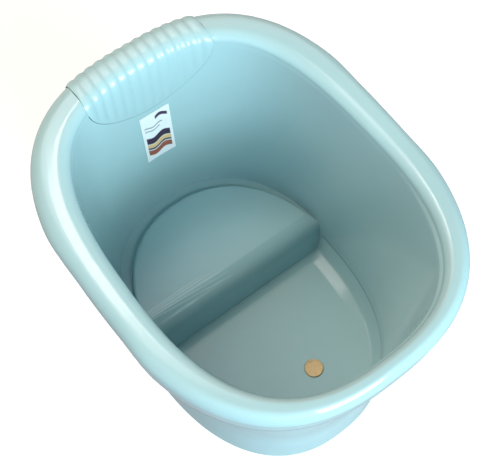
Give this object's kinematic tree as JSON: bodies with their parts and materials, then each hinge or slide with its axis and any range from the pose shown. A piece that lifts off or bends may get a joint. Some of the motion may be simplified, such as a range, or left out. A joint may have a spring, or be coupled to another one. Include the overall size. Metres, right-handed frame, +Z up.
{
  "type": "pedicure foot bath",
  "caption": "Deep oval pedicure foot bath in one moulding, with a ribbed leg rest over the back rim, a raised heel platform, a sunk front well and a round drain plug.",
  "frame": {"origin": "on the ground, below the middle of the rim's length and width", "axes": "+Z up, +Y towards the back end with the leg rest, +X to the right for someone at the front looking to the back"},
  "size_m": [0.3352, 0.4158, 0.3038],
  "materials": {
    "tub_plastic": "gloss",
    "rest_plastic": "satin",
    "plug_rubber": "matte",
    "label_film": "printed film"
  },
  "bodies": {
    "tub": {"tub_shell": "tub_plastic", "leg_rest_pad": "rest_plastic", "label": "label_film"},
    "plug": {"drain_plug": "plug_rubber"}
  },
  "joints": [
    {"name": "plug_lift", "type": "slide", "parent": "tub", "child": "plug", "axis": [0, 0, 1], "range_m": [0, 0.04]}
  ]
}
